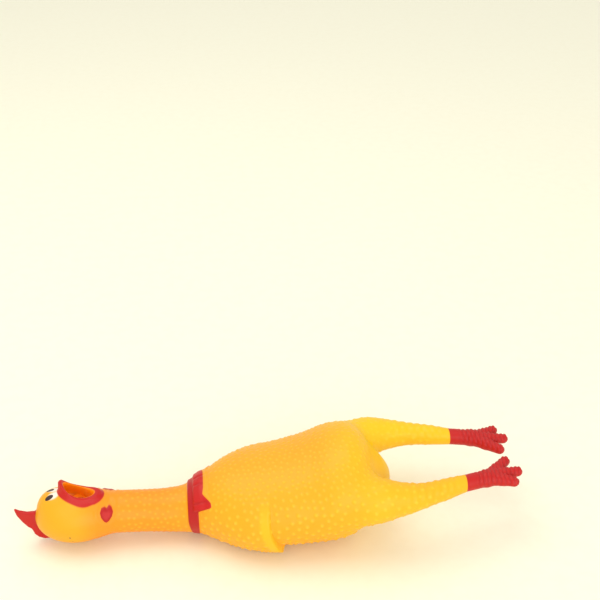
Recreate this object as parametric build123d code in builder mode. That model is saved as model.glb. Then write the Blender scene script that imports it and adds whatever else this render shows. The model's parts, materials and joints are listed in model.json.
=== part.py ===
from build123d import *
from math import cos, radians, sin
import os

# Rubber chicken: a hollow, soft vinyl toy with a reed whistle in its throat.
# It lies on its back on Z = 0, breast up, with the head towards -X and the feet towards +X.
# The bird's left side is +Y. The vinyl is one casting on the real toy; here it is divided
# where it bends, and each bend is a hollow ball end that turns inside the piece before it.

os.makedirs("parts", exist_ok=True)

SIDES = {"left": 1, "right": -1}
UPWARDS = (Align.CENTER, Align.CENTER, Align.MIN)
DOWNWARDS = (Align.CENTER, Align.CENTER, Align.MAX)

# Vinyl, and the hollow ball ends at its bends
WALL = 2.0
BALL_GAP = 0.5  # radial room between a ball end and the mouth that it turns in
BALL_CUT = 0.6  # where the ball is cut open, and where its waist is, as a share of its radius
BALL_WAIST = 0.8  # radius of that waist, as a share of the ball's radius
FLARE = 0.8  # run of the flare beyond the waist, for each millimetre that it rises

# Torso outline: each station is its X, half width, lowest Z and highest Z
STATIONS = [
    (-49, 15.5, 3, 34),
    (-40, 17.5, 1.5, 38),
    (-25, 26, 0, 45),
    (-5, 34, -1, 50),
    (18, 37.5, -1.5, 54.5),
    (40, 37.5, -1.5, 62.5),
    (56, 34, 1, 65),
    (66, 25, 12, 58),
]
TAIL_X = STATIONS[-1][0]
TAIL_Z = 36
TAIL_RADII = (8, 13)
TAIL_LENGTH = 7
TAIL_TIP_SHARE = 0.55  # size of the tail's end beside its root

# Raised work on the skin: how far it stands out, and the outlines it has
RELIEF = 2.5
BOW_RELIEF = 4.5
COLLAR_LENGTH = 7.5
KNOT_SIZE = (8, 9)
KNOT_CORNER = 2
BOW_INNER, BOW_OUTER = 5.5, 17.5
BOW_INNER_WIDTH, BOW_OUTER_WIDTH = 4.5, 11
WING_CENTRE = (-4, 24)
WING_RADII = (17, 12)
WING_TILT = -14
WING_REACH = 60  # more than the torso's half width

# Breast panel, the part of the belly that a squeeze pushes in
PANEL_CENTRE = (18, 0)
PANEL_RADII = (27, 21)
PANEL_GAP = 0.5
PANEL_FLOOR = 35  # below the panel's edge and above the cavity's floor

# Neck and head, along the middle plane
COLLAR = Vector(-49, 0, 18.5)
NECK_MIDDLE = Vector(-67, 0, 17.5)
NECK_TOP = Vector(-85, 0, 17)
COLLAR_RADIUS = 15.5
NECK_RADII = (13.5, 13, 12.5)  # above the collar, half-way, below the head
HEAD_CENTRE = Vector(-113, 0, 18.5)
HEAD_HALF_LENGTH = 25
HEAD_RADIUS = 16.5
HEAD_JOIN = 12  # length of the cone that carries the ball end into the head
HEAD_JOIN_RADII = (10, 11.5)
COMB_THICKNESS = 3.5

# Beak: an open cup on a leaning axis, with the whistle under its floor
LEAN = radians(22)
BEAK = Plane(origin=(-112, 0, 22), x_dir=(cos(LEAN), 0, -sin(LEAN)), z_dir=(sin(LEAN), 0, cos(LEAN)))
BEAK_HEIGHT = 17
BEAK_BASE = (18.5, 12)
BEAK_RIM = (15.5, 9)
MOUTH_FLOOR = 5
MOUTH_CORNER = 5.5  # radius of the dip at each corner of the mouth
LINING = 0.8
WATTLE = Vector(-95, 12, 28)
WATTLE_RADII = (3.5, 5.5)
EYE = Vector(-126, 5, 30)
EYE_RADII = (3.2, 4.2)

# Whistle, on the beak's axis
WHISTLE_RADIUS = 5.5
WHISTLE_BORE = 4.2
WHISTLE_LENGTH = 15
FLANGE_RADIUS = 6.6
FLANGE = 1.2
CLIP_RADIUS = 7
CLIP = 2
BED_LENGTH = 13
REED_WIDTH, REED_LENGTH, REED_THICKNESS = 4.6, 8, 0.3
REED_SPACE = 0.8  # slot between bed and wedge, which the reed swings in
TROUGH_RADIUS = 1.7
WEDGE_LENGTH = 4

# Legs: points on the left side, mirrored for the right
HIP = Vector(66, 25, 37)
KNEE = Vector(88, 28, 39)
ANKLE = Vector(117, 21.5, 40.5)
SOLE = Vector(129, 18, 41)
TOE_TIPS = [Vector(141.5, 8, 41), Vector(146.4, 15, 41), Vector(142.5, 23.5, 41.5)]
HIP_RADIUS = 15
HIP_DEPTH = 14
THIGH_RADII = (13, 8.5)
SHANK_RADII = (7.5, 5.2)
FOOT_RADII = (4.5, 4.8)
TOE_RADIUS = 3.6


def on_side(point, side):
    """A point of the left side, carried to the side asked for."""
    return Vector(point.X, point.Y * side, point.Z)


def aimed(start, end):
    """The plane at start whose normal points to end."""
    return Plane(origin=start, z_dir=end - start)


def ball_radius(mouth):
    """Radius of the ball end that turns in a mouth of this outer radius."""
    return mouth - WALL - BALL_GAP


def torso_form(inset):
    """The torso as a closed solid, moved inwards by inset, or outwards where that is negative."""
    floor = max(inset, 0)
    with BuildPart() as form:
        for x, half_width, low, high in STATIONS:
            end_wall = floor if x == TAIL_X else 0
            with BuildSketch(Plane.YZ.offset(x - end_wall)):
                with Locations((0, (low + high) / 2)):
                    Ellipse(half_width - inset, (high - low) / 2 - inset)
        loft()
        split(bisect_by=Plane.XY.offset(floor), keep=Keep.TOP)
    return form.part


def limb_form(plane, length, ball, root, tip, inset=0, mode=Mode.ADD):
    """Add or cut a ball end on plane, its flare, and the taper that follows."""
    cut = ball * BALL_CUT
    waist = ball * BALL_WAIST
    flare = cut + (root - waist) * FLARE
    with Locations(plane):
        Sphere(ball - inset, mode=mode)
    with Locations(plane.offset(cut)):
        Cone(waist - inset, root - inset, flare - cut, align=UPWARDS, mode=mode)
    with Locations(plane.offset(flare)):
        Cone(root - inset, tip - inset, length - flare, align=UPWARDS, mode=mode)


def open_ball(plane, ball):
    """Cut off the back of a ball end, so that air passes through it."""
    split(bisect_by=plane.offset(-ball * BALL_CUT), keep=Keep.TOP)


def limb(start, end, mouth, root, tip):
    """A hollow limb from one hinge to the next, open at the tip for the next ball end."""
    plane = aimed(start, end)
    length = (end - start).length
    ball = ball_radius(mouth)
    with BuildPart() as piece:
        limb_form(plane, length, ball, root, tip)
        limb_form(plane, length, ball, root, tip, inset=WALL, mode=Mode.SUBTRACT)
        open_ball(plane, ball)
    return piece.part


def spheroid(centre, half_length, radius, mode=Mode.ADD):
    """Add or cut an ellipse turned about its long axis, which lies along X."""
    with BuildSketch(Plane.XZ) as upper_half:
        with Locations((centre.X, centre.Z)):
            Ellipse(half_length, radius)
            Rectangle(
                2 * half_length,
                radius,
                align=(Align.CENTER, Align.MIN),
                mode=Mode.INTERSECT,
            )
    revolve(upper_half.sketch, axis=Axis(centre, (1, 0, 0)), mode=mode)


def beak_form(inset, low, high):
    """The beak's tapering cup as a closed solid between two heights on its own axis."""
    with BuildPart() as form:
        for height in (low, high):
            share = height / BEAK_HEIGHT
            along = BEAK_BASE[0] + (BEAK_RIM[0] - BEAK_BASE[0]) * share
            across = BEAK_BASE[1] + (BEAK_RIM[1] - BEAK_BASE[1]) * share
            with BuildSketch(BEAK.offset(height)):
                Ellipse(along - inset, across - inset)
        loft()
    return form.part


def mouth_corners():
    """Cut the dip that each corner of the mouth has."""
    across = Plane(origin=(BEAK * Location((0, 0, BEAK_HEIGHT))).position, z_dir=(0, 1, 0))
    with Locations(across):
        Cylinder(MOUTH_CORNER, 4 * BEAK_BASE[1], mode=Mode.SUBTRACT)


TORSO = torso_form(0)
CAVITY = torso_form(WALL)
RAISED = torso_form(-RELIEF)

# Torso shell, open at the neck, at both hips and under the breast panel
with BuildPart() as torso_shell:
    add(TORSO)
    for side in SIDES.values():
        with Locations(aimed(on_side(HIP, side), on_side(KNEE, side))):
            Cylinder(HIP_RADIUS, HIP_DEPTH, align=DOWNWARDS)
    add(CAVITY, mode=Mode.SUBTRACT)
    for side in SIDES.values():
        with Locations(aimed(on_side(HIP, side), on_side(KNEE, side))):
            Cylinder(HIP_RADIUS - WALL, 2 * HIP_DEPTH, mode=Mode.SUBTRACT)
    with BuildSketch(Plane.XY.offset(PANEL_FLOOR)):
        with Locations(PANEL_CENTRE):
            Ellipse(PANEL_RADII[0] + PANEL_GAP, PANEL_RADII[1] + PANEL_GAP)
    extrude(amount=PANEL_FLOOR, mode=Mode.SUBTRACT)
torso_shell.part.label = "torso_shell"
export_step(torso_shell.part, "parts/torso_shell.step")

# Breast panel, cut from the same wall
with BuildPart() as breast_panel:
    with BuildSketch(Plane.XY.offset(PANEL_FLOOR)):
        with Locations(PANEL_CENTRE):
            Ellipse(*PANEL_RADII)
    extrude(amount=PANEL_FLOOR)
    add(TORSO, mode=Mode.INTERSECT)
    add(CAVITY, mode=Mode.SUBTRACT)
breast_panel.part.label = "breast_panel"
export_step(breast_panel.part, "parts/breast_panel.step")

# Tail, a blunt bump on the rump between the legs
with BuildPart() as tail:
    for reach, share in ((0, 1), (TAIL_LENGTH, TAIL_TIP_SHARE)):
        with BuildSketch(Plane.YZ.offset(TAIL_X + reach)):
            with Locations((0, TAIL_Z)):
                Ellipse(TAIL_RADII[0] * share, TAIL_RADII[1] * share)
    loft()
tail.part.label = "tail"
export_step(tail.part, "parts/tail.step")

# Wings, raised on each flank
for name, side in SIDES.items():
    with BuildPart() as wing:
        with BuildSketch(Plane.XZ):
            with Locations(Location(WING_CENTRE, WING_TILT)):
                Ellipse(*WING_RADII)
        extrude(amount=-side * WING_REACH)
        add(RAISED, mode=Mode.INTERSECT)
        add(TORSO, mode=Mode.SUBTRACT)
    wing.part.label = f"{name}_wing"
    export_step(wing.part, f"parts/{name}_wing.step")

# Collar band round the root of the neck
with BuildPart() as collar_band:
    add(RAISED)
    split(bisect_by=Plane.YZ.offset(COLLAR.X + COLLAR_LENGTH), keep=Keep.BOTTOM)
    add(TORSO, mode=Mode.SUBTRACT)
collar_band.part.label = "collar_band"
export_step(collar_band.part, "parts/collar_band.step")

# Bow on the front of the collar: a knot and two loops that widen away from it
BOW_FORM = torso_form(-BOW_RELIEF)
BOW_X = COLLAR.X + COLLAR_LENGTH - KNOT_SIZE[0] / 2

with BuildPart() as bow_knot:
    with BuildSketch(Plane.XY.offset(COLLAR.Z)):
        with Locations((BOW_X, 0)):
            RectangleRounded(*KNOT_SIZE, radius=KNOT_CORNER)
    extrude(amount=2 * COLLAR_RADIUS)
    add(BOW_FORM, mode=Mode.INTERSECT)
    add(RAISED, mode=Mode.SUBTRACT)
bow_knot.part.label = "bow_knot"
export_step(bow_knot.part, "parts/bow_knot.step")

for name, side in SIDES.items():
    with BuildPart() as bow_loop:
        with BuildSketch(Plane.XY.offset(COLLAR.Z)):
            with BuildLine():
                Polyline(
                    (BOW_X - BOW_INNER_WIDTH / 2, BOW_INNER * side),
                    (BOW_X + BOW_INNER_WIDTH / 2, BOW_INNER * side),
                    (BOW_X + BOW_OUTER_WIDTH / 2, BOW_OUTER * side),
                    (BOW_X - BOW_INNER_WIDTH / 2, BOW_OUTER * side),
                    close=True,
                )
            make_face()
        extrude(amount=2 * COLLAR_RADIUS)
        add(BOW_FORM, mode=Mode.INTERSECT)
        add(RAISED, mode=Mode.SUBTRACT)
    bow_loop.part.label = f"{name}_bow_loop"
    export_step(bow_loop.part, f"parts/{name}_bow_loop.step")

# Neck, in two lengths
for name, start, end, mouth, root, tip in (
    ("neck_lower", COLLAR, NECK_MIDDLE, COLLAR_RADIUS, NECK_RADII[0], NECK_RADII[1]),
    ("neck_upper", NECK_MIDDLE, NECK_TOP, NECK_RADII[1], NECK_RADII[1], NECK_RADII[2]),
):
    neck = limb(start, end, mouth, root, tip)
    neck.label = name
    export_step(neck, f"parts/{name}.step")

# Head shell, with a hole that the beak stands in
HEAD_PLANE = aimed(NECK_TOP, HEAD_CENTRE)
HEAD_BALL = ball_radius(NECK_RADII[2])
with BuildPart() as head_shell:
    spheroid(HEAD_CENTRE, HEAD_HALF_LENGTH, HEAD_RADIUS)
    limb_form(HEAD_PLANE, HEAD_JOIN, HEAD_BALL, *HEAD_JOIN_RADII)
    spheroid(HEAD_CENTRE, HEAD_HALF_LENGTH - WALL, HEAD_RADIUS - WALL, mode=Mode.SUBTRACT)
    limb_form(HEAD_PLANE, HEAD_JOIN, HEAD_BALL, *HEAD_JOIN_RADII, WALL, Mode.SUBTRACT)
    open_ball(HEAD_PLANE, HEAD_BALL)
    add(beak_form(0, 0, BEAK_HEIGHT), mode=Mode.SUBTRACT)
head_shell.part.label = "head_shell"
export_step(head_shell.part, "parts/head_shell.step")

# Comb, a thin fin with three points over the back of the head
with BuildPart() as comb:
    with BuildSketch(Plane.XZ):
        with BuildLine():
            upper = ThreePointArc((-134, 25.5), (-141, 22.5), (-150, 25.5))
            point = Line(upper @ 1, (-147, 16))
            notch = ThreePointArc(point @ 1, (-143, 13.5), (-144, 8))
            second = Line(notch @ 1, (-139.5, 4))
            Polyline(second @ 1, (-137.5, 0.5), (-128, 3), (-130, 20), upper @ 0)
        make_face()
    extrude(amount=COMB_THICKNESS / 2, both=True)
    spheroid(HEAD_CENTRE, HEAD_HALF_LENGTH, HEAD_RADIUS, mode=Mode.SUBTRACT)
comb.part.label = "comb"
export_step(comb.part, "parts/comb.step")

# Beak, in an upper and a lower half that meet at the corners of the mouth
for name, kept in (("upper_beak", Keep.BOTTOM), ("lower_beak", Keep.TOP)):
    with BuildPart() as beak:
        add(beak_form(0, 0, BEAK_HEIGHT))
        add(beak_form(WALL, 0, BEAK_HEIGHT), mode=Mode.SUBTRACT)
        mouth_corners()
        split(bisect_by=Plane(origin=BEAK.origin, z_dir=BEAK.x_dir), keep=kept)
    beak.part.label = name
    export_step(beak.part, f"parts/{name}.step")

# Mouth lining, a cup inside the beak with the whistle's hole in its floor
with BuildPart() as mouth_lining:
    add(beak_form(WALL, MOUTH_FLOOR - LINING, BEAK_HEIGHT))
    add(beak_form(WALL + LINING, MOUTH_FLOOR, BEAK_HEIGHT), mode=Mode.SUBTRACT)
    mouth_corners()
    with Locations(BEAK.offset(MOUTH_FLOOR)):
        Cylinder(WHISTLE_RADIUS, 4 * LINING, mode=Mode.SUBTRACT)
mouth_lining.part.label = "mouth_lining"
export_step(mouth_lining.part, "parts/mouth_lining.step")

# Wattles and eyes, thin raised patches on the head
for name, side in SIDES.items():
    with BuildPart() as wattle:
        with BuildSketch(Plane.XZ):
            with Locations((WATTLE.X, WATTLE.Z)):
                Ellipse(*WATTLE_RADII)
        extrude(amount=-WATTLE.Y * side)
        add(beak_form(0, 0, BEAK_HEIGHT), mode=Mode.SUBTRACT)
        spheroid(HEAD_CENTRE, HEAD_HALF_LENGTH, HEAD_RADIUS, mode=Mode.SUBTRACT)
        add(head_shell.part, mode=Mode.SUBTRACT)
    wattle.part.label = f"{name}_wattle"
    export_step(wattle.part, f"parts/{name}_wattle.step")

    with BuildPart() as eye:
        with BuildSketch(Plane.XY.offset(HEAD_CENTRE.Z)):
            with Locations((EYE.X, EYE.Y * side)):
                Ellipse(*EYE_RADII)
        extrude(amount=HEAD_RADIUS)
        spheroid(HEAD_CENTRE, HEAD_HALF_LENGTH, HEAD_RADIUS, mode=Mode.SUBTRACT)
        add(beak_form(0, 0, BEAK_HEIGHT), mode=Mode.SUBTRACT)
    eye.part.label = f"{name}_eye"
    export_step(eye.part, f"parts/{name}_eye.step")

# Whistle housing, a flanged tube that hangs under the mouth's floor
SEAT = BEAK.offset(MOUTH_FLOOR)
with BuildPart() as whistle_housing:
    with Locations(SEAT):
        Cylinder(FLANGE_RADIUS, FLANGE, align=UPWARDS)
        Cylinder(WHISTLE_RADIUS, WHISTLE_LENGTH, align=DOWNWARDS)
        Cylinder(WHISTLE_BORE, 3 * WHISTLE_LENGTH, mode=Mode.SUBTRACT)
whistle_housing.part.label = "whistle_housing"
export_step(whistle_housing.part, "parts/whistle_housing.step")

# Clip ring that holds the housing up against the floor
with BuildPart() as clip_ring:
    with Locations(BEAK.offset(MOUTH_FLOOR - LINING)):
        Cylinder(CLIP_RADIUS, CLIP, align=DOWNWARDS)
        Cylinder(WHISTLE_RADIUS, 3 * CLIP, mode=Mode.SUBTRACT)
clip_ring.part.label = "clip_ring"
export_step(clip_ring.part, "parts/clip_ring.step")

# Reed bed, a half-round bar with an open trough, pressed into the bore
BED_TOP = BEAK.offset(MOUTH_FLOOR - CLIP)
BED_FACE = Plane(origin=BED_TOP.origin, z_dir=BEAK.x_dir).offset(-REED_SPACE / 2)
with BuildPart() as reed_bed:
    with Locations(BED_TOP):
        Cylinder(WHISTLE_BORE, BED_LENGTH, align=DOWNWARDS)
    split(bisect_by=BED_FACE, keep=Keep.BOTTOM)
    with Locations(BED_TOP.offset(-WEDGE_LENGTH)):
        with Locations((-REED_SPACE / 2, 0, 0)):
            Cylinder(TROUGH_RADIUS, BED_LENGTH, align=DOWNWARDS, mode=Mode.SUBTRACT)
reed_bed.part.label = "reed_bed"
export_step(reed_bed.part, "parts/reed_bed.step")

# Reed wedge, which fills the other half of the bore and clamps the reed's root
with BuildPart() as reed_wedge:
    with Locations(BED_TOP):
        Cylinder(WHISTLE_BORE, WEDGE_LENGTH, align=DOWNWARDS)
    split(bisect_by=BED_FACE, keep=Keep.TOP)
reed_wedge.part.label = "reed_wedge"
export_step(reed_wedge.part, "parts/reed_wedge.step")

# Reed tongue, free below the wedge
with BuildPart() as reed:
    with Locations(BED_TOP.offset(-WEDGE_LENGTH - BALL_GAP)):
        Box(REED_THICKNESS, REED_WIDTH, REED_LENGTH, align=DOWNWARDS)
reed.part.label = "reed"
export_step(reed.part, "parts/reed.step")

# Legs: thigh, shank and foot on each side
for name, side in SIDES.items():
    hip, knee, ankle, sole = (on_side(point, side) for point in (HIP, KNEE, ANKLE, SOLE))

    thigh = limb(hip, knee, HIP_RADIUS, *THIGH_RADII)
    thigh.label = f"{name}_thigh"
    export_step(thigh, f"parts/{name}_thigh.step")

    shank = limb(knee, ankle, THIGH_RADII[1], *SHANK_RADII)
    shank.label = f"{name}_shank"
    export_step(shank, f"parts/{name}_shank.step")

    foot_plane = aimed(ankle, sole)
    foot_length = (sole - ankle).length
    with BuildPart() as foot:
        limb_form(foot_plane, foot_length, ball_radius(SHANK_RADII[1]), *FOOT_RADII)
        with Locations(sole):
            Sphere(FOOT_RADII[1])
        for tip in TOE_TIPS:
            toe_end = on_side(tip, side)
            toe_plane = aimed(sole, toe_end)
            with Locations(toe_plane):
                Cone(FOOT_RADII[1], TOE_RADIUS, (toe_end - sole).length, align=UPWARDS)
            with Locations(toe_end):
                Sphere(TOE_RADIUS)
    foot.part.label = f"{name}_foot"
    export_step(foot.part, f"parts/{name}_foot.step")
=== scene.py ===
"""Looks of the rubber chicken: one vinyl skin, grown as a distance field round the CAD frame.

The skin is meshed once, painted by masks kept on its vertices, and then cut into pieces at planes
that lie where the frame is rigid, so that neighbouring pieces keep sharing their edges as the joints
move. The shanks in the pose all_min are the known exception.
"""

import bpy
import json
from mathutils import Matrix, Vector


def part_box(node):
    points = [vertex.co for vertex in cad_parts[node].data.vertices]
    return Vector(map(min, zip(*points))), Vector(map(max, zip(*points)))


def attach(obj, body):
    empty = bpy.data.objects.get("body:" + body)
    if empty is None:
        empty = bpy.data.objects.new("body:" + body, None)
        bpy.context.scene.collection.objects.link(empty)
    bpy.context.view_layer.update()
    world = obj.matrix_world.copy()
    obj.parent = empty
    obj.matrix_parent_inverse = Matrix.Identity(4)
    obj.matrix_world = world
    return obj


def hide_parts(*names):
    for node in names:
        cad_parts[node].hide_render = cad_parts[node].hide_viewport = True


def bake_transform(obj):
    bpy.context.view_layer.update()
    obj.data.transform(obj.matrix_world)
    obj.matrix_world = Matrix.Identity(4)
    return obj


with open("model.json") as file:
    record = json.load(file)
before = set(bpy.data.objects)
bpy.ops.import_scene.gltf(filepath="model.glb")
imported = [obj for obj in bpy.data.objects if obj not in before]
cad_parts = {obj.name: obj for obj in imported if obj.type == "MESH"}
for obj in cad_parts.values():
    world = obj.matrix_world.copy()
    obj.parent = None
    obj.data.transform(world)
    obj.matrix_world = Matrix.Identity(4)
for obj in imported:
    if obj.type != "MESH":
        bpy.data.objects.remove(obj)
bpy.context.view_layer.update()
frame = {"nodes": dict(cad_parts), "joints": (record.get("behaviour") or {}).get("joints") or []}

import json
import math

import bpy
import numpy as np
import openvdb
from mathutils import Vector
from mathutils.kdtree import KDTree

MM = 0.001
VOXEL = 0.62  # edge of the skin's quads, in millimetres
SEED = 7


def joint_at(name):
    """A joint's place in the frame, in millimetres."""
    found = next(j for j in frame["joints"] if j["name"] == name)
    return np.array(found["pos_m"]) / MM


def node_box(name):
    """A CAD node's lowest and highest corners, in millimetres."""
    low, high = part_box(name)
    return np.array(low) / MM, np.array(high) / MM


COLLAR = joint_at("neck_lift")
NECK = joint_at("neck_bend")
NAPE = joint_at("head_nod")
HIP = joint_at("left_hip_swing")
KNEE = joint_at("left_knee_splay")
ANKLE = joint_at("left_ankle_bend")
TORSO_LOW, TORSO_HIGH = node_box("torso_shell")
HEAD_LOW = node_box("head_shell")[0]
COMB_LOW, COMB_HIGH = node_box("comb")
FOOT_HIGH = node_box("left_foot")[1]

# --- Shape of the skin, in millimetres -------------------------------------------------------

# Trunk and neck: X, half width, middle height, half height
TRUNK = np.array(
    [
        (NAPE[0] - 15, 12.5, 18.5, 12.5),
        (NAPE[0], 12.4, 18.2, 12.4),
        (NECK[0] - 4, 12.4, 17.4, 12.4),
        (NECK[0] + 7, 13.0, 16.9, 12.9),
        (COLLAR[0] - 1, 14.0, 17.3, 14.2),
        (COLLAR[0] + 7, 16.8, 19.2, 16.6),
        (COLLAR[0] + 15, 22.0, 20.8, 20.4),
        (COLLAR[0] + 23, 27.6, 22.2, 22.4),
        (COLLAR[0] + 33, 32.4, 23.3, 23.9),
        (COLLAR[0] + 45, 34.8, 24.3, 25.0),
        (COLLAR[0] + 58, 36.5, 25.5, 26.2),
        (COLLAR[0] + 72, 37.4, 27.6, 28.2),
        (COLLAR[0] + 86, 38.0, 30.8, 31.0),
        (COLLAR[0] + 98, 35.5, 33.0, 31.5),
        (COLLAR[0] + 108, 31.0, 34.5, 30.0),
    ]
)
TRUNK_END = COLLAR[0] + 106
RUMP = np.array([46.0, 0, 32.0])
RUMP_RADII = (27.2, 19.0, 20.5)

# Head
CRANIUM = np.array([HEAD_LOW[0] + 24, 0, 18.0])
CRANIUM_RADII = (24.0, 16.6, 15.8)
FACE = np.array([-123.5, 0, 27.6])
FACE_RADII = (11.5, 9.5, 9.0)
BEAK_LEAN = math.radians(25)
BEAK_ROOT = np.array([-112.5, 0, 22.0])
# Beak along its axis: height, front, back, half width
BEAK = np.array(
    [
        (-3.0, -17.2, 13.0, 10.8),
        (5.0, -16.2, 12.4, 9.8),
        (9.0, -15.8, 12.0, 8.3),
        (11.0, -16.4, 11.7, 7.2),
        (13.0, -17.0, 11.2, 6.2),
        (15.5, -17.8, 9.4, 5.9),
        (18.0, -18.2, 6.6, 5.6),
    ]
)
BEAK_BOTTOM = -2
# Mouth, measured in the beak's frame
MOUTH_MIDDLE = -5.4
MOUTH_RADII = (9.2, 4.6)
MOUTH_FLOOR = 4.0
MOUTH_FLARE = 0.35  # widening of the inner wall for each millimetre below its corners
MOUTH_FLARE_DEPTH = 6
MOUTH_FLARE_ALONG = 0.3  # share of the widening along the beak
CORNER_HEIGHT = 13.0
TIP_RISE = 2.6
PIT_RADIUS = 5.0
PIT_BOTTOM = -11
PIT_OVERLAP = 3  # how far the pit reaches up into the mouth's hollow
COMB_THICKNESS = 2.6

# Raised parts
WING_HEIGHT = 2.0
WING_FLANK_HEIGHT = 2.4  # added on the wing's lower side
WATTLE_HEIGHT = 0.7
WATTLE_BORDER_HEIGHT = 0.3
FLOOR_GAP = 0.15

# Fillets where the shapes run into each other
TRUNK_END_FILLET = 14
RUMP_FILLET = 16.0
LEG_FILLET = 7.0
FACE_FILLET = 6
HEAD_FILLET = 5
BEAK_FILLET = 2.5
RIM_FILLET = 1.2
MOUTH_FLOOR_FILLET = 2.0
COMB_FILLET = 1.2
COMB_EDGE_FILLET = 1.3
TOE_JOINT_FILLET = 1.5
TOE_FILLET = 0.9

# Left leg: X, Y, Z and radius
LEG = np.array(
    [
        (44.0, 22.0, 35.0, 14.5),
        (56.0, 26.5, 37.0, 14.0),
        (66.0, 28.9, 38.6, 12.2),
        (72.0, 29.6, 39.1, 10.4),
        (79.5, 29.6, 39.2, 8.8),
        (87.0, 28.7, 39.4, 7.4),
        (94.5, 27.0, 39.8, 6.6),
        (102.0, 25.2, 40.1, 6.2),
        (109.4, 23.1, 40.4, 5.5),
        (ANKLE[0] - 2, 21.6, 40.5, 4.9),
    ]
)


def smin(a, b, k):
    """Smooth union of two distances."""
    h = np.clip(0.5 + 0.5 * (b - a) / k, 0, 1)
    return b * (1 - h) + a * h - k * h * (1 - h)


def smax(a, b, k):
    """Smooth intersection of two distances."""
    return -smin(-a, -b, k)


def smooth(low, high, x):
    """Smooth step from 0 at low to 1 at high."""
    t = np.clip((x - low) / (high - low), 0, 1)
    return t * t * (3 - 2 * t)


def curve(x, xs, ys):
    """Smooth curve through the points xs, ys."""
    slope = np.gradient(ys, xs)
    i = np.clip(np.searchsorted(xs, x) - 1, 0, len(xs) - 2)
    h = xs[i + 1] - xs[i]
    t = np.clip((x - xs[i]) / h, 0, 1)
    return (
        ys[i] * (2 * t**3 - 3 * t**2 + 1)
        + slope[i] * h * (t**3 - 2 * t**2 + t)
        + ys[i + 1] * (3 * t**2 - 2 * t**3)
        + slope[i + 1] * h * (t**3 - t**2)
    )


def ellipsoid(p, centre, radii):
    """Near enough the distance to an ellipsoid."""
    q = p - centre
    k0 = np.sqrt(((q / radii) ** 2).sum(-1)) + 1e-9
    k1 = np.sqrt(((q / np.square(radii)) ** 2).sum(-1)) + 1e-9
    return k0 * (k0 - 1) / k1


def ellipse(u, v, a, b):
    """Near enough the distance to an ellipse with the half axes a and b."""
    k0 = np.hypot(u / a, v / b) + 1e-9
    k1 = np.hypot(u / a**2, v / b**2) + 1e-9
    return k0 * (k0 - 1) / k1


def rounded_cone(p, a, b, ra, rb):
    """Distance to a rod from a to b, whose radius goes from ra to rb."""
    axis = b - a
    t = np.clip(((p - a) @ axis) / (axis @ axis), 0, 1)
    return np.linalg.norm(p - (a + t[..., None] * axis), axis=-1) - (ra + t * (rb - ra))


def polygon(x, z, points):
    """Signed distance to a closed outline."""
    best = np.full(x.shape, 1e9)
    inside = np.zeros(x.shape, bool)
    for (x0, z0), (x1, z1) in zip(points, points[1:] + points[:1]):
        ex, ez = x1 - x0, z1 - z0
        wx, wz = x - x0, z - z0
        t = np.clip((wx * ex + wz * ez) / (ex * ex + ez * ez), 0, 1)
        best = np.minimum(best, (wx - ex * t) ** 2 + (wz - ez * t) ** 2)
        crosses = (z0 > z) != (z1 > z)
        inside ^= crosses & (x < x0 + ex * (z - z0) / (ez if ez else 1e-9))
    return np.where(inside, -1, 1) * np.sqrt(best)


def round_the_axis(p):
    """Angle round the trunk from its top, in degrees, towards either side."""
    middle = curve(p[..., 0], TRUNK[:, 0], TRUNK[:, 2])
    return np.degrees(np.arctan2(np.abs(p[..., 1]), p[..., 2] - middle))


def beak_frame(p):
    """Coordinates along, across and up the beak's leaning axis."""
    q = p - BEAK_ROOT
    c, s = math.cos(BEAK_LEAN), math.sin(BEAK_LEAN)
    return c * q[..., 0] - s * q[..., 2], q[..., 1], s * q[..., 0] + c * q[..., 2]


def beak_wall(u, v, w):
    """Distance to the beak's outer wall, which rolls in towards the mouth's corners."""
    front = curve(w, BEAK[:, 0], BEAK[:, 1])
    back = curve(w, BEAK[:, 0], BEAK[:, 2])
    half_width = curve(w, BEAK[:, 0], BEAK[:, 3])
    return ellipse(u - (front + back) / 2, v, (back - front) / 2, half_width)


def rim_height(u):
    """Height of the mouth's rim: low at the corners and high at the beak's two tips."""
    reach = np.abs((u - MOUTH_MIDDLE) / MOUTH_RADII[0])
    return CORNER_HEIGHT + TIP_RISE * np.minimum(reach, 1.2) ** 2


def mouth_wall(u, v, w):
    """Distance to the mouth's inner wall, which widens below the rim."""
    widening = MOUTH_FLARE * np.clip(CORNER_HEIGHT - w, 0, MOUTH_FLARE_DEPTH)
    along = MOUTH_RADII[0] + MOUTH_FLARE_ALONG * widening
    return ellipse(u - MOUTH_MIDDLE, v, along, MOUTH_RADII[1] + widening)


def head(p):
    """Distance to the skull with the beak's cup, before the mouth is hollowed out."""
    cranium = ellipsoid(p, CRANIUM, CRANIUM_RADII)
    face = ellipsoid(p, FACE, FACE_RADII)
    skull = smin(cranium, face, FACE_FILLET)
    u, v, w = beak_frame(p)
    cup = smax(beak_wall(u, v, w), w - rim_height(u), RIM_FILLET)
    cup = smax(cup, BEAK_BOTTOM - w, 1)
    return smin(skull, cup, BEAK_FILLET)


def mouth(p):
    """The mouth's hollow and the pit that the whistle stands in."""
    u, v, w = beak_frame(p)
    hollow = smax(mouth_wall(u, v, w), MOUTH_FLOOR - w, MOUTH_FLOOR_FILLET)
    pit = np.maximum(np.hypot(u, v) - PIT_RADIUS, PIT_BOTTOM - w)
    return np.minimum(hollow, np.maximum(pit, w - MOUTH_FLOOR - PIT_OVERLAP))


# X and Z
COMB_OUTLINE = [
    (-133.0, 23.5),
    (-138.5, 22.8),
    (-142.5, 22.9),
    (-146.5, 24.4),
    (-149.3, 26.2),
    (-149.9, 25.2),
    (-148.9, 20.5),
    (-146.4, 15.6),
    (-143.6, 11.6),
    (-141.6, 10.0),
    (-140.9, 8.4),
    (-140.2, 5.6),
    (-138.0, 3.2),
    (-134.6, 1.6),
    (-129.5, 1.8),
    (-127.0, 8.0),
]


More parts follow.
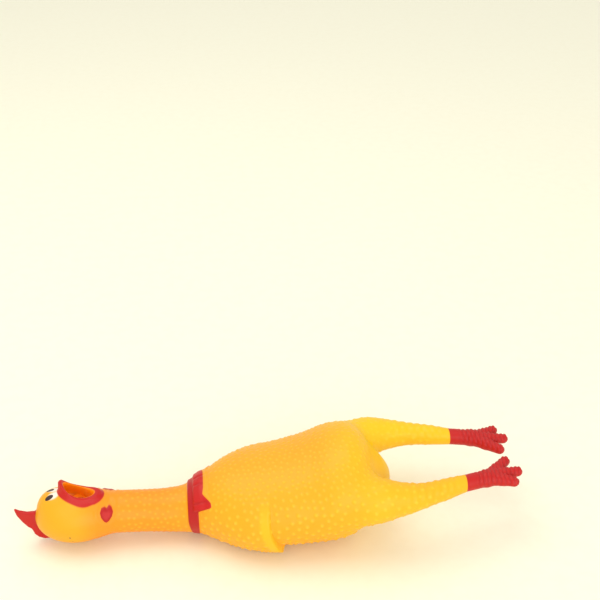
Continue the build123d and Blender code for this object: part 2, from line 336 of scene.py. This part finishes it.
def comb(p):
    """Distance to the comb, a flat blade that thins towards its tip."""
    flat = polygon(p[..., 0], p[..., 2], COMB_OUTLINE)
    thin = COMB_THICKNESS / 2 * (0.55 + 0.45 * smooth(-150, -138, p[..., 0]))
    side = np.abs(p[..., 1]) - thin
    return smax(flat, side, COMB_EDGE_FILLET)


def trunk(p):
    """Distance to the neck, the body and the rump, without the legs."""
    x, y, z = p[..., 0], p[..., 1], p[..., 2]
    half_width = curve(x, TRUNK[:, 0], TRUNK[:, 1])
    middle = curve(x, TRUNK[:, 0], TRUNK[:, 2])
    half_height = curve(x, TRUNK[:, 0], TRUNK[:, 3])
    tube = ellipse(y, z - middle, half_width, half_height)
    tube = smax(tube, x - TRUNK_END, TRUNK_END_FILLET)
    tube = np.maximum(tube, TRUNK[0, 0] - x)
    return smin(tube, ellipsoid(p, RUMP, RUMP_RADII), RUMP_FILLET)


def leg(p):
    """Distance to the nearer leg, down to the ankle."""
    x = np.clip(p[..., 0], LEG[0, 0], LEG[-1, 0])
    y, z, radius = (curve(x, LEG[:, 0], LEG[:, column]) for column in (1, 2, 3))
    across = np.hypot(np.abs(p[..., 1]) - y, p[..., 2] - z)
    return np.hypot(across, p[..., 0] - x) - radius


# Root, middle and tip of each toe of the left foot
TOES = [
    [np.array([127.0, 19.6, 40.6]), np.array([135.0, 12.0, 40.8]), np.array([141.8, 5.6, 41.2])],
    [np.array([127.0, 19.0, 40.8]), np.array([137.5, 16.4, 41.0]), np.array([146.6, 15.4, 41.2])],
    [np.array([127.0, 18.6, 40.6]), np.array([136.0, 21.2, 40.9]), np.array([142.2, 24.0, 41.2])],
]
TOE_RADII = (5.0, 3.6, 3.1)


def foot(p):
    """Distance to the nearer foot, with its ankle and three toes."""
    q = p.copy()
    q[..., 1] = np.abs(q[..., 1])
    best = rounded_cone(q, LEG[-1, :3], TOES[1][0], LEG[-1, 3], TOE_RADII[0])
    for toe in TOES:
        line = rounded_cone(q, toe[0], toe[1], TOE_RADII[0], TOE_RADII[1])
        end = rounded_cone(q, toe[1], toe[2], TOE_RADII[1], TOE_RADII[2])
        best = smin(best, smin(line, end, TOE_JOINT_FILLET), TOE_FILLET)
    return best


# Collar and bow, as a raised band whose rear edge follows the angle round the neck
COLLAR_FRONT = COLLAR[0] + 0.8
BAND_LENGTH = 6.2
BAND_HEIGHT = 1.3
BOW_HEIGHT = 2.6
BOW_ANGLE = 60  # how far the bow reaches down each side, in degrees
# Bow's rear edge: degrees from the top, and millimetres behind the collar's front
BOW_REAR = [(0, 12.0), (20, 11.9), (32, 11.3), (42, 12.6), (50, 13.8), (60, 13.8)]


def collar_edges(angle):
    """Front and rear X of the band at an angle from the top of the neck."""
    front = COLLAR_FRONT + 2.0 * smooth(75, 140, angle)
    bow = np.interp(angle, *np.array(BOW_REAR).T) - BAND_LENGTH
    on_bow = smooth(BOW_ANGLE + 3, BOW_ANGLE - 3, angle)
    return front, COLLAR_FRONT + BAND_LENGTH + bow * on_bow


def collar(p):
    """Distance outside the collar's edges, and the angle from the top of the neck."""
    angle = round_the_axis(p)
    front, rear = collar_edges(angle)
    return np.maximum(front - p[..., 0], p[..., 0] - rear), angle


def bow_share(x, angle):
    """1 on the bow's loops and knot and 0 on the plain band, which shows in front of them."""
    behind_band = smooth(COLLAR_FRONT + 3.0, COLLAR_FRONT + 4.0, x)
    return behind_band * smooth(BOW_ANGLE + 2, BOW_ANGLE - 3, angle)


def bow_creases(angle):
    """Depth of the crease beside the knot and of the one across each loop."""
    beside_knot = 0.6 * np.exp(-(((angle - 9) / 2.5) ** 2))
    across_loop = 0.9 * np.exp(-(((angle - 46) / 2.5) ** 2))
    return beside_knot + across_loop


def collar_height(x, angle):
    """How far the collar stands out."""
    height = BAND_HEIGHT + (BOW_HEIGHT - BAND_HEIGHT - bow_creases(angle)) * bow_share(x, angle)
    slope = 1 - 0.6 * smooth(COLLAR_FRONT + 6.5, COLLAR_FRONT + 11, x)
    return height * (1 - 0.6 * smooth(85, 120, angle)) * slope


def wing_edge(angle):
    """X of the wing's rear rim at an angle from the top of the trunk."""
    sweep = np.sin(np.radians(np.clip(angle - 25, 0, 110) * 180 / 110))
    return 0.5 + 8.0 * smooth(80, 130, angle) - 2.2 * sweep - 10 * smooth(114, 142, angle) ** 2


def wing_ends(angle):
    """1 along the wing and 0 past its upper and lower ends."""
    return smooth(50, 76, angle) * smooth(143, 132, angle)


def wing_mask(p):
    """How far the wing stands out, from 0 to 1: it rises from the front to a stepped rim."""
    x = p[..., 0]
    angle = round_the_axis(p)
    rim = wing_edge(angle)
    rise = smooth(-40, 8, x)
    edge = smooth(rim + 0.9, rim - 1.1, x)
    return rise * edge * wing_ends(angle)


def wing_rim(p):
    """The smooth border inside the wing's rear rim, from 0 to 1."""
    x = p[..., 0]
    angle = round_the_axis(p)
    rim = wing_edge(angle)
    return smooth(rim - 7, rim - 4, x) * smooth(rim + 0.6, rim - 0.4, x) * wing_ends(angle)


# X and Z
WATTLE_OUTLINE = [
    (-99.0, 27.5),
    (-98.2, 29.3),
    (-96.4, 29.5),
    (-95.2, 28.8),
    (-93.8, 29.7),
    (-92.3, 28.9),
    (-91.5, 26.9),
    (-92.3, 24.7),
    (-94.2, 22.5),
    (-95.6, 21.7),
    (-96.9, 22.7),
    (-98.4, 25.1),
]


def skin(p):
    """The whole skin's distance field."""
    body = smin(trunk(p), leg(p), LEG_FILLET)
    edge, angle = collar(p)
    near_collar = np.abs(p[..., 0] - COLLAR[0] - 6) < 16
    step = np.where(near_collar, smooth(0.5, -0.7, edge), 0)
    body = body - collar_height(p[..., 0], angle) * step
    wing_height = WING_HEIGHT + WING_FLANK_HEIGHT * smooth(75, 115, angle)
    body = body - wing_height * wing_mask(p)
    body = smin(body, head(p), HEAD_FILLET)
    on_face = p[..., 0] < NAPE[0] - 4
    wattle = polygon(p[..., 0], p[..., 2], WATTLE_OUTLINE)
    lobe = WATTLE_HEIGHT * smooth(0.5, -1.2, wattle)
    border = WATTLE_BORDER_HEIGHT * np.exp(-(((wattle - 2.2) / 0.9) ** 2))
    body = body - on_face * (lobe + border)
    body = smin(body, comb(p), COMB_FILLET)
    body = smax(body, -mouth(p), 1.0)
    body = np.minimum(body, foot(p))
    return smax(body, FLOOR_GAP - p[..., 2], 1.0)


# --- Mesh -----------------------------------------------------------------------------------

MARGIN = 6 * VOXEL
GRID_LOW = np.array([COMB_LOW[0], TORSO_LOW[1] - 4, 0.0]) - MARGIN
GRID_HIGH = np.array([FOOT_HIGH[0] + 2, TORSO_HIGH[1] + 4, TORSO_HIGH[2] + 4]) + MARGIN
BLOCK = 4  # voxels along a block that is skipped when the surface is far away
SCALE_PITCH = 2.5  # of the scales across each foot
SCALE_DEPTH = 0.55
RIDGE_PITCH = 4.5  # of the ridges along each shank
RIDGE_HEIGHT = 0.2
PIMPLE_CELL = 4.0  # side of the cells that pimples are looked up in; no spacing is larger
NEIGHBOURS = [(i, j, k) for i in (0, -1, 1) for j in (0, -1, 1) for k in (0, -1, 1)]
LIP_DEPTH = 1.2  # thickness of the wall shown at each piece's edge


def gradient(field, points, step=0.15):
    """Slope of a field at each point."""
    slopes = []
    for axis in np.eye(3) * step:
        slopes.append((field(points + axis) - field(points - axis)) / (2 * step))
    return np.stack(slopes, -1)


def unit(vectors):
    return vectors / np.maximum(np.linalg.norm(vectors, axis=-1, keepdims=True), 1e-9)


def field_grid():
    """The skin's field on a regular grid, worked out in full only in blocks near the surface."""
    blocks = np.ceil((GRID_HIGH - GRID_LOW) / (VOXEL * BLOCK)).astype(int)
    corners = np.stack(np.meshgrid(*[np.arange(n) for n in blocks], indexing="ij"), -1) * BLOCK
    centres = GRID_LOW + VOXEL * (corners + (BLOCK - 1) / 2)
    coarse = skin(centres)
    values = np.sign(coarse) * 3 * VOXEL
    for axis in range(3):
        values = np.repeat(values, BLOCK, axis)
    near = corners[np.abs(coarse) < 7 * VOXEL]
    steps = np.stack(np.meshgrid(*[np.arange(BLOCK)] * 3, indexing="ij"), -1).reshape(-1, 3)
    for batch in np.array_split(near, 24):
        cells = (batch[:, None] + steps).reshape(-1, 3)
        values[cells[:, 0], cells[:, 1], cells[:, 2]] = skin(GRID_LOW + VOXEL * cells)
    return np.clip(values, -3 * VOXEL, 3 * VOXEL).astype(np.float32)


def skin_mesh():
    """Points and quads of the skin, with every point moved onto the field's surface."""
    grid = openvdb.FloatGrid(3 * VOXEL)
    grid.copyFromArray(field_grid())
    points, quads = grid.convertToQuads(isovalue=0.0)[:2]
    points = np.array(points, float) * VOXEL + GRID_LOW
    for _ in range(3):
        slope = gradient(skin, points)
        step = skin(points)[:, None] * slope / np.maximum((slope**2).sum(-1), 0.05)[:, None]
        length = np.linalg.norm(step, axis=-1, keepdims=True)
        points -= step * np.minimum(1, 0.8 * VOXEL / np.maximum(length, 1e-9))
    return points, np.array(quads, int)


def point_normals(points, quads):
    """Area-weighted normal at each point of a mesh of quads."""
    corner = points[quads]
    face = np.cross(corner[:, 2] - corner[:, 0], corner[:, 3] - corner[:, 1])
    total = np.zeros_like(points)
    for column in range(4):
        np.add.at(total, quads[:, column], face)
    return unit(total)


def pimple_field(points):
    """Height, radius and spacing of the moulded pimples at each point."""
    x, y = points[:, 0], np.abs(points[:, 1])
    edge, angle = collar(points)
    flank = smooth(48, 78, angle) * smooth(-50, -36, x)
    height = (0.22 + 0.14 * smooth(-48, -20, x) + 0.22 * flank) * smooth(-94, -84, x)
    height *= smooth(0.6, 2.0, edge) * smooth(112, 94, x) * (1 - 0.45 * smooth(45, 75, x))
    height *= 1 - smooth(54, 64, x) * smooth(18, 12, y)
    height *= 1 - wing_rim(points)
    return height, 1.2 + 0.35 * flank, 3.0 + 1.0 * flank


def scatter(points, height, spacing):
    """Evenly scattered pimple centres, picked from the mesh's own points."""
    random = np.random.default_rng(SEED)
    order = random.permutation(len(points))
    order = order[height[order] > 0.02]
    cells = {}
    chosen = []
    for i in order.tolist():
        x, y, z = points[i].tolist()
        limit = spacing[i] ** 2
        cx, cy, cz = int(x // PIMPLE_CELL), int(y // PIMPLE_CELL), int(z // PIMPLE_CELL)
        free = True
        for key in NEIGHBOURS:
            for ox, oy, oz in cells.get((cx + key[0], cy + key[1], cz + key[2]), ()):
                if (x - ox) ** 2 + (y - oy) ** 2 + (z - oz) ** 2 < limit:
                    free = False
                    break
            if not free:
                break
        if free:
            cells.setdefault((cx, cy, cz), []).append((x, y, z))
            chosen.append(i)
    return chosen


def foot_grooves(x):
    """1 in the grooves between a foot's scales and 0 on the scales."""
    wave = (0.5 - 0.5 * np.sin(x * 2 * np.pi / SCALE_PITCH)) ** 2
    return smooth(ANKLE[0] + 1, ANKLE[0] + 6, x) * wave


def relief(points, normals):
    """Height of the pimples and ridges at each point, and a painted highlight on the pimples' tips,
    from 0 to 1.
    """
    height, radius, spacing = pimple_field(points)
    tree = KDTree(len(points))
    for i, point in enumerate(points.tolist()):
        tree.insert(point, i)
    tree.balance()
    pimples = np.zeros(len(points))
    for i in scatter(points, height, spacing):
        for _, j, distance in tree.find_range(points[i].tolist(), radius[i]):
            bump = (1 - (distance / radius[i]) ** 2) ** 2
            pimples[j] = max(pimples[j], bump)
    x = points[:, 0]
    upper = smooth(0.1, 0.7, normals[:, 2])
    on_shank = RIDGE_HEIGHT * smooth(70, 84, x) * smooth(114, 106, x)
    shank = on_shank * upper * np.sin(x * 2 * np.pi / RIDGE_PITCH)
    toes = -SCALE_DEPTH * foot_grooves(x) * smooth(0.0, 0.5, normals[:, 2])
    _, angle = collar(points)
    # Painted highlight: a lighter tint on the pimples' tips, stronger on the flanks.
    tips = pimples * smooth(0, 0.3, height) * (0.7 + 0.3 * smooth(55, 80, angle))
    return height * pimples + shank + toes, tips


# --- Paint, with painted light and shade ----------------------------------------------------

PAINT_LINE = ANKLE[0] - 3.2
EYE_MIDDLE = np.array([-127.9, 3.3, 35.8])
EYE_LONG = unit(np.array([4.85, -1.35, 2.5]))
PUPIL = (2.9, 1.6)
SCLERA = (4.4, 2.6)
SPECKS = [(np.array([-117.0, -16.0, 15.1]), 0.6), (np.array([-116.0, -15.0, 10.5]), 0.6)]
FAR = 5.0  # paint distances are kept within this many millimetres of an edge


def eye_distance(points, radii, shift=0.0):
    """Distance inside a painted ellipse on either side of the brow."""
    q = points.copy()
    q[:, 1] = np.abs(q[:, 1])
    q = q - EYE_MIDDLE - shift * EYE_LONG
    along = q @ EYE_LONG
    across = np.sqrt(np.maximum((q**2).sum(-1) - along**2, 0))
    return -ellipse(along, across, *radii)


def paint(points):
    """Distance inside each painted area, in millimetres, and the soft tints from 0 to 1, which hold
    the painted light and painted shade.
    """
    x, y, z = points.T
    u, v, w = beak_frame(points)
    edge, angle = collar(points)
    bare_side = 2.3 * smooth(BOW_ANGLE - 5, BOW_ANGLE - 30, angle)
    neckband = -edge - bare_side * smooth(2, 5, x - COLLAR_FRONT)
    crest = 0.7 - comb(points)
    inside = -mouth_wall(u, v, w)
    band = w - 9.4 - 0.035 * np.maximum(u + 4, 0) ** 2
    beak = np.minimum(band, 3.2 - beak_wall(u, v, w))
    beak = np.where(x < NAPE[0], beak, -FAR)
    mark = np.where((x < NAPE[0]) & (np.abs(y) > 5), -polygon(x, z, WATTLE_OUTLINE), -FAR)
    feet = x - PAINT_LINE
    red = np.max([neckband, crest, beak * 0.7, mark, feet], 0)
    orange = np.where((w > -2) & (x < NAPE[0]), inside + 0.5, -FAR)
    masks = {
        "red": red,
        "orange": orange,
        "collar": neckband,
        "white": np.where(x < CRANIUM[0] + 12, eye_distance(points, SCLERA, 2.8), -FAR) * 0.5,
        "black": eye_distance(points, PUPIL),
    }
    for place, radius in SPECKS:
        speck = radius - np.linalg.norm(points - place, axis=1)
        masks["black"] = np.maximum(masks["black"], speck)
    masks = {name: np.clip(value, -FAR, FAR) for name, value in masks.items()}
    # Painted light: lighter yellow towards the legs and rump, stronger on the far side, and along each
    # wing's smooth rim.
    towards_legs = smooth(24, 62, x) * (0.5 + 0.5 * smooth(-30, 15, y))
    masks["lemon"] = np.maximum(towards_legs, 0.6 * wing_rim(points))
    # Painted shade: darker orange along the neck.
    masks["warm"] = smooth(-20, -70, x) * smooth(-116, -98, x)
    # Painted shade: darker red on the collar's plain band in front of the bow, in the bow's creases
    # and in the grooves between a foot's scales. Darker red also runs along each wattle's outline.
    bow_shade = np.maximum(1 - bow_share(x, angle), 0.7 * bow_creases(angle))
    dark = np.where(x < -20, bow_shade, foot_grooves(x))
    masks["dark"] = np.where(x < NAPE[0], 0.8 * smooth(2.0, 0.8, np.abs(mark)), dark)
    return masks


# --- Pieces ---------------------------------------------------------------------------------

# X where the skin is cut, and how far out a thigh's cut begins
NECK_CUT = COLLAR[0] - 1.5
THROAT_CUT = NECK[0] + 5
NAPE_CUT = NAPE[0] + 5.5
THIGH_CUT = HIP[0] + 3.5
SHANK_CUT = KNEE[0] - 6
LEG_CUT_Y = 15.0
TAIL_CUT = RUMP[0] + 20.5


def face_labels(points, quads, masks):
    """The name of the piece that each face belongs to."""
    centre = points[quads].mean(1)
    x, y = centre[:, 0], centre[:, 1]
    face = {name: value[quads].mean(1) for name, value in masks.items()}
    labels = np.full(len(quads), "torso_skin", dtype="U24")

    def mark(name, where):
        labels[where] = name

    on_leg = (x > THIGH_CUT) & (np.abs(y) > LEG_CUT_Y) | (x > SHANK_CUT)
    mark("tail_skin", (x > TAIL_CUT) & ~on_leg)
    for side, is_side in (("left", y > 0), ("right", y <= 0)):
        mark(f"{side}_wing_skin", (wing_mask(centre) > 0.25) & is_side)
        mark(f"{side}_thigh_skin", on_leg & is_side)
        mark(f"{side}_shank_skin", on_leg & is_side & (x > SHANK_CUT))
        mark(f"{side}_foot_skin", on_leg & is_side & (x > PAINT_LINE))
    _, angle = collar(centre)
    banded = (face["collar"] > 0) & (np.abs(x - COLLAR[0]) < 20)
    mark("collar_band_skin", banded)
    mark("bow_knot_skin", banded & (angle < 10))
    mark("left_bow_skin", banded & (angle >= 10) & (angle < 60) & (y > 0))
    mark("right_bow_skin", banded & (angle >= 10) & (angle < 60) & (y <= 0))
    mark("lower_neck_skin", x < NECK_CUT)
    mark("upper_neck_skin", x < THROAT_CUT)
    on_head = x < NAPE_CUT
    mark("head_skin", on_head)
    mark("comb_skin", on_head & (face["red"] > 0) & (x < COMB_HIGH[0] + 2))
    u, v, w = beak_frame(centre)
    past_comb = on_head & (x > COMB_HIGH[0] + 2)
    painted = past_comb & (face["red"] > 0) & (w > 2) & (np.abs(v) < 14)
    in_beak = painted & (beak_wall(u, v, w) < 3)
    mark("upper_beak_skin", in_beak & (u < 1.5))
    mark("lower_beak_skin", in_beak & (u >= 1.5))
    mark("mouth_skin", on_head & (face["orange"] > 0))
    wattled = painted & ~in_beak
    mark("left_wattle_skin", wattled & (y > 0))
    mark("right_wattle_skin", wattled & (y <= 0))
    eye = on_head & (face["black"] > -0.2) & (x < CRANIUM[0] + 12)
    mark("left_eye_skin", eye & (y > 0))
    mark("right_eye_skin", eye & (y <= 0))
    return labels


def border_loops(faces):
    """Directed edges that only one face of a piece has."""
    edges = np.concatenate([faces[:, [i, (i + 1) % 4]] for i in range(4)])
    keys = edges.min(1) * (faces.max() + 1) + edges.max(1)
    _, first, counts = np.unique(keys, return_index=True, return_counts=True)
    return edges[first[counts == 1]]


def piece(name, faces, points, normals, masks):
    """One named mesh of the skin, with its edge turned inwards as the wall's thickness."""
    used, local = np.unique(faces, return_inverse=True)
    local = local.reshape(faces.shape)
    edges = border_loops(local)
    rim, rim_local = np.unique(edges, return_inverse=True)
    rim_local = rim_local.reshape(edges.shape) + len(used)
    inner = points[used[rim]] - normals[used[rim]] * LIP_DEPTH
    lip = np.stack([edges[:, 1], edges[:, 0], rim_local[:, 0], rim_local[:, 1]], 1)
    vertices = np.concatenate([points[used], inner]) * MM
    source = np.concatenate([used, used[rim]])
    mesh = bpy.data.meshes.new(name)
    mesh.from_pydata(vertices.tolist(), [], np.concatenate([local, lip]).tolist())
    for mask, values in masks.items():
        layer = mesh.attributes.new(mask, "FLOAT", "POINT")
        layer.data.foreach_set("value", values[source].astype(np.float32))
    mesh.shade_smooth()
    mesh.normals_split_custom_set_from_vertices(normals[source].tolist())
    found = bpy.data.objects.new(name, mesh)
    bpy.context.scene.collection.objects.link(found)
    return found


# --- Materials ------------------------------------------------------------------------------


def tone(red, green, blue):
    """A display colour, 0 to 255, as the linear colour that shaders take."""
    channels = [c / 255 for c in (red, green, blue)]
    linear = [c / 12.92 if c < 0.04045 else ((c + 0.055) / 1.055) ** 2.4 for c in channels]
    return (*linear, 1.0)


VINYL = tone(243, 171, 12)
# Darker orange: painted shade on the neck, and the random mottle.
WARM = tone(243, 146, 7)
# Painted light: the lighter yellow of the legs, rump and wing rims.
PAINTED_LIGHT_TONE = tone(246, 198, 12)
# Painted highlight on the pimples' tips.
PIMPLE_HIGHLIGHT = tone(250, 214, 56)
RED = tone(196, 17, 12)
# Darker red: painted shade on the collar and in the foot's grooves, the wattles' darker outline, and
# random mottle.
DARK_RED = tone(170, 4, 10)
ORANGE = tone(255, 148, 0)
WHITE = tone(255, 240, 225)
PUPIL_TONE = tone(52, 34, 34)


def add(tree, kind, settings=None, **inputs):
    """A new shader node with its settings and inputs filled in; an input may be a socket."""
    node = tree.nodes.new(kind)
    for key, value in (settings or {}).items():
        setattr(node, key, value)
    for key, value in inputs.items():
        socket = node.inputs[key.replace("_", " ")]
        if isinstance(value, bpy.types.NodeSocket):
            tree.links.new(value, socket)
        else:
            socket.default_value = value
    return node


def mask(tree, name):
    return add(tree, "ShaderNodeAttribute", {"attribute_name": name}).outputs["Fac"]


def stepped(tree, value, low, high):
    """0 below low and 1 above high, with a smooth change between."""
    found = add(
        tree,
        "ShaderNodeMapRange",
        {"interpolation_type": "SMOOTHSTEP"},
        Value=value,
        From_Min=low,
        From_Max=high,
    )
    return found.outputs["Result"]


def blended(tree, share, first, second):
    """The first colour where share is 0 and the second where it is 1."""
    found = tree.nodes.new("ShaderNodeMix")
    found.data_type = "RGBA"
    sockets = (found.inputs[0], found.inputs[6], found.inputs[7])
    for socket, value in zip(sockets, (share, first, second)):
        if isinstance(value, bpy.types.NodeSocket):
            tree.links.new(value, socket)
        else:
            socket.default_value = value
    return found.outputs[2]


def product(tree, value, factor):
    found = tree.nodes.new("ShaderNodeMath")
    found.operation = "MULTIPLY"
    for socket, part in zip(found.inputs, (value, factor)):
        if isinstance(part, bpy.types.NodeSocket):
            tree.links.new(part, socket)
        else:
            socket.default_value = part
    return found.outputs[0]


def noise(tree, scale, detail=3.0):
    place = add(tree, "ShaderNodeTexCoord").outputs["Object"]
    return add(tree, "ShaderNodeTexNoise", Vector=place, Scale=scale, Detail=detail).outputs["Fac"]


def new_material(name):
    material = bpy.data.materials.new(name)
    material.use_nodes = True
    tree = material.node_tree
    tree.nodes.clear()
    surface = add(tree, "ShaderNodeBsdfPrincipled")
    output = tree.nodes.new("ShaderNodeOutputMaterial")
    tree.links.new(surface.outputs[0], output.inputs[0])
    return material, tree, surface


def vinyl(name, red):
    """Cast vinyl with its sprayed paints and its painted light, shade and highlights, laid on where
    the piece's masks say.
    """
    material, tree, surface = new_material(name)
    mottle = stepped(tree, noise(tree, 38), 0.35, 0.7)
    # Painted light on the legs, rump and wing rims.
    colour = blended(tree, mask(tree, "lemon"), VINYL, PAINTED_LIGHT_TONE)
    # Painted shade on the neck; the mottle after it is random tone.
    colour = blended(tree, product(tree, mask(tree, "warm"), 0.85), colour, WARM)
    colour = blended(tree, product(tree, mottle, 0.14), colour, WARM)
    # Painted highlight on the pimples' tips.
    colour = blended(tree, product(tree, mask(tree, "pimple_highlight"), 0.45), colour, PIMPLE_HIGHLIGHT)
    sprayed = stepped(tree, mask(tree, "red"), -0.3, 0.3)
    # Painted shade on the collar's band and creases and in the foot's grooves; also the wattles'
    # darker outline.
    red_tone = blended(tree, product(tree, mask(tree, "dark"), 0.6), red, DARK_RED)
    red_tone = blended(tree, product(tree, mottle, 0.2), red_tone, DARK_RED)
    colour = blended(tree, stepped(tree, mask(tree, "white"), -0.3, 0.5), colour, WHITE)
    colour = blended(tree, sprayed, colour, red_tone)
    colour = blended(tree, stepped(tree, mask(tree, "orange"), -0.4, 0.4), colour, ORANGE)
    colour = blended(tree, stepped(tree, mask(tree, "black"), -0.12, 0.12), colour, PUPIL_TONE)
    tree.links.new(colour, surface.inputs["Base Color"])
    rough = add(tree, "ShaderNodeMapRange", Value=noise(tree, 260), To_Min=0.36, To_Max=0.5)
    tree.links.new(rough.outputs[0], surface.inputs["Roughness"])
    grain = noise(tree, 900, 2.0)
    bump = add(tree, "ShaderNodeBump", Height=grain, Strength=0.12, Distance=0.0004)
    tree.links.new(bump.outputs[0], surface.inputs["Normal"])
    surface.inputs["Specular IOR Level"].default_value = 0.4
    return material


def plain(name, colour, dark, roughness, grain_scale=700):
    """A moulded or bent part of one colour, with a little wear and grain."""
    material, tree, surface = new_material(name)
    shade = stepped(tree, noise(tree, 120), 0.35, 0.75)
    tint = blended(tree, product(tree, shade, 0.6), colour, dark)
    tree.links.new(tint, surface.inputs["Base Color"])
    rough = add(tree, "ShaderNodeMapRange", Value=noise(tree, 300))
    rough.inputs["To Min"].default_value = roughness
    rough.inputs["To Max"].default_value = roughness + 0.15
    tree.links.new(rough.outputs[0], surface.inputs["Roughness"])
    grain = noise(tree, grain_scale)
    bump = add(tree, "ShaderNodeBump", Height=grain, Strength=0.15, Distance=0.0003)
    tree.links.new(bump.outputs[0], surface.inputs["Normal"])
    return material


# --- Building the skin ----------------------------------------------------------------------

points, quads = skin_mesh()
normals = point_normals(points, quads)
heights, pimples = relief(points, normals)
masks = paint(points)
# The pimples' tips carry a painted highlight.
masks["pimple_highlight"] = pimples
points = points + normals * heights[:, None]
normals = point_normals(points, quads)
labels = face_labels(points, quads, masks)

YELLOW = vinyl("yellow_vinyl", RED)
RED_PAINT = vinyl("red_paint", RED)
COLLAR_PAINT = vinyl("red_collar_paint", tone(200, 14, 10))
ORANGE_PAINT = vinyl("orange_paint", RED)
EYE_PAINT = vinyl("eye_paint", RED)


def finish_piece(name, material, bodies, nodes):
    """Make a piece, give it its material, attach it to its one body and hide the CAD nodes it stands
    for.

    With two bodies it is only baked in place.
    """
    found = piece(name, quads[labels == name], points, normals, masks)
    found.data.materials.append(material)
    if len(bodies) == 2:
        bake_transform(found)
    else:
        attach(found, bodies[0])
    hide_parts(*nodes)


finish_piece(
    "torso_skin",
    YELLOW,
    ("torso", "breast"),
    ("torso_shell", "breast_panel"),
)
finish_piece("tail_skin", YELLOW, ("torso",), ("tail",))
finish_piece("collar_band_skin", COLLAR_PAINT, ("torso",), ("collar_band",))
finish_piece("bow_knot_skin", COLLAR_PAINT, ("torso",), ("bow_knot",))
for name, parent, child, node, start, end in (
    ("lower_neck_skin", "torso", "neck_lower", "neck_lower", NECK_CUT + 1, NECK_CUT - 8.5),
    ("upper_neck_skin", "neck_lower", "neck_upper", "neck_upper", THROAT_CUT - 0.5, THROAT_CUT - 10.5),
    ("head_skin", "neck_upper", "head", "head_shell", NAPE_CUT - 0.5, NAPE_CUT - 11.5),
):
    finish_piece(
        name,
        YELLOW,
        (parent, child),
        (node,),
    )
finish_piece("comb_skin", RED_PAINT, ("head",), ("comb",))
finish_piece("upper_beak_skin", RED_PAINT, ("head",), ("upper_beak",))
finish_piece("lower_beak_skin", RED_PAINT, ("head",), ("lower_beak",))
finish_piece("mouth_skin", ORANGE_PAINT, ("head",), ("mouth_lining",))
for side, sign in (("left", 1), ("right", -1)):
    finish_piece(f"{side}_wing_skin", YELLOW, ("torso",), (f"{side}_wing",))
    finish_piece(f"{side}_bow_skin", COLLAR_PAINT, ("torso",), (f"{side}_bow_loop",))
    finish_piece(f"{side}_wattle_skin", RED_PAINT, ("head",), (f"{side}_wattle",))
    finish_piece(f"{side}_eye_skin", EYE_PAINT, ("head",), (f"{side}_eye",))
    for part, parent, child, start, end in (
        ("thigh", "torso", f"{side}_thigh", THIGH_CUT + 0.5, THIGH_CUT + 11.5),
        ("shank", f"{side}_thigh", f"{side}_shank", SHANK_CUT + 1, SHANK_CUT + 12),
        ("foot", f"{side}_shank", f"{side}_foot", PAINT_LINE + 0.5, PAINT_LINE + 10),
    ):
        material, slot = (RED_PAINT, "red_paint") if part == "foot" else (YELLOW, "yellow_vinyl")
        finish_piece(
            f"{side}_{part}_skin",
            material,
            (parent, child),
            (f"{side}_{part}",),
        )

# --- Whistle, kept as the frame's own parts ---------------------------------------------------

PLASTIC = plain("whistle_plastic", tone(236, 232, 220), tone(205, 198, 180), 0.32)
FILM = plain("reed_film", tone(225, 230, 232), tone(180, 190, 196), 0.2)
SPRAYED = plain("mouth_overspray", tone(255, 150, 4), tone(240, 110, 2), 0.4)
WHISTLE = {
    "whistle_housing": (SPRAYED, "whistle_plastic"),
    "clip_ring": (PLASTIC, "whistle_plastic"),
    "reed_bed": (PLASTIC, "whistle_plastic"),
    "reed_wedge": (PLASTIC, "whistle_plastic"),
    "reed": (FILM, "reed_film"),
}
for name, (material, slot_name) in WHISTLE.items():
    node = frame["nodes"][name]
    node.data.materials.clear()
    node.data.materials.append(material)

# --- Floor, light and camera ------------------------------------------------------------------

FLOOR_SIZE = 6.0
half = FLOOR_SIZE / 2
floor_corners = [(-half, -half, 0), (half, -half, 0), (half, half, 0), (-half, half, 0)]
floor_mesh = bpy.data.meshes.new("floor")
floor_mesh.from_pydata(floor_corners, [], [(0, 1, 2, 3)])
floor = bpy.data.objects.new("floor", floor_mesh)
bpy.context.scene.collection.objects.link(floor)
floor_mesh.materials.append(plain("floor_card", tone(252, 251, 230), tone(250, 248, 226), 0.35, 90))

bpy.context.scene.view_settings.view_transform = "Standard"
world = bpy.data.worlds.new("studio")
bpy.context.scene.world = world
world.use_nodes = True
sky = world.node_tree.nodes["Background"]
sky.inputs["Color"].default_value = tone(255, 252, 244)
sky.inputs["Strength"].default_value = 0.88


def area_light(name, place, target, size, power, colour):
    data = bpy.data.lights.new(name, "AREA")
    data.shape = "DISK"
    data.size = size
    data.energy = power
    data.color = colour
    lamp = bpy.data.objects.new(name, data)
    lamp.location = place
    lamp.rotation_euler = (Vector(target) - Vector(place)).to_track_quat("-Z", "Y").to_euler()
    bpy.context.scene.collection.objects.link(lamp)


area_light("key", (-0.35, 0.15, 1.1), (0, 0, 0.02), 0.9, 3.6, (1, 0.98, 0.93))
area_light("fill", (0.2, -1.2, 0.45), (0, 0, 0.02), 1.4, 7.0, (1, 0.99, 0.96))

AZIMUTH = math.radians(-6)
ELEVATION = math.radians(31)
DISTANCE = 0.6
BESIDE = 0.0189  # how far the camera's aim lies to the right of the toy and above it, in metres
ABOVE = 0.1152
back = Vector(
    (
        math.sin(AZIMUTH) * math.cos(ELEVATION),
        -math.cos(AZIMUTH) * math.cos(ELEVATION),
        math.sin(ELEVATION),
    )
)
right = Vector((math.cos(AZIMUTH), math.sin(AZIMUTH), 0))
up = back.cross(right)
aim = Vector((0, 0, 0.025)) + right * BESIDE + up * ABOVE
lens = bpy.data.cameras.new("camera")
lens.lens = 60
lens.sensor_width = 36
camera = bpy.data.objects.new("camera", lens)
camera.location = aim + back * DISTANCE
camera.rotation_euler = back.to_track_quat("Z", "Y").to_euler()
bpy.context.scene.collection.objects.link(camera)
bpy.context.scene.camera = camera
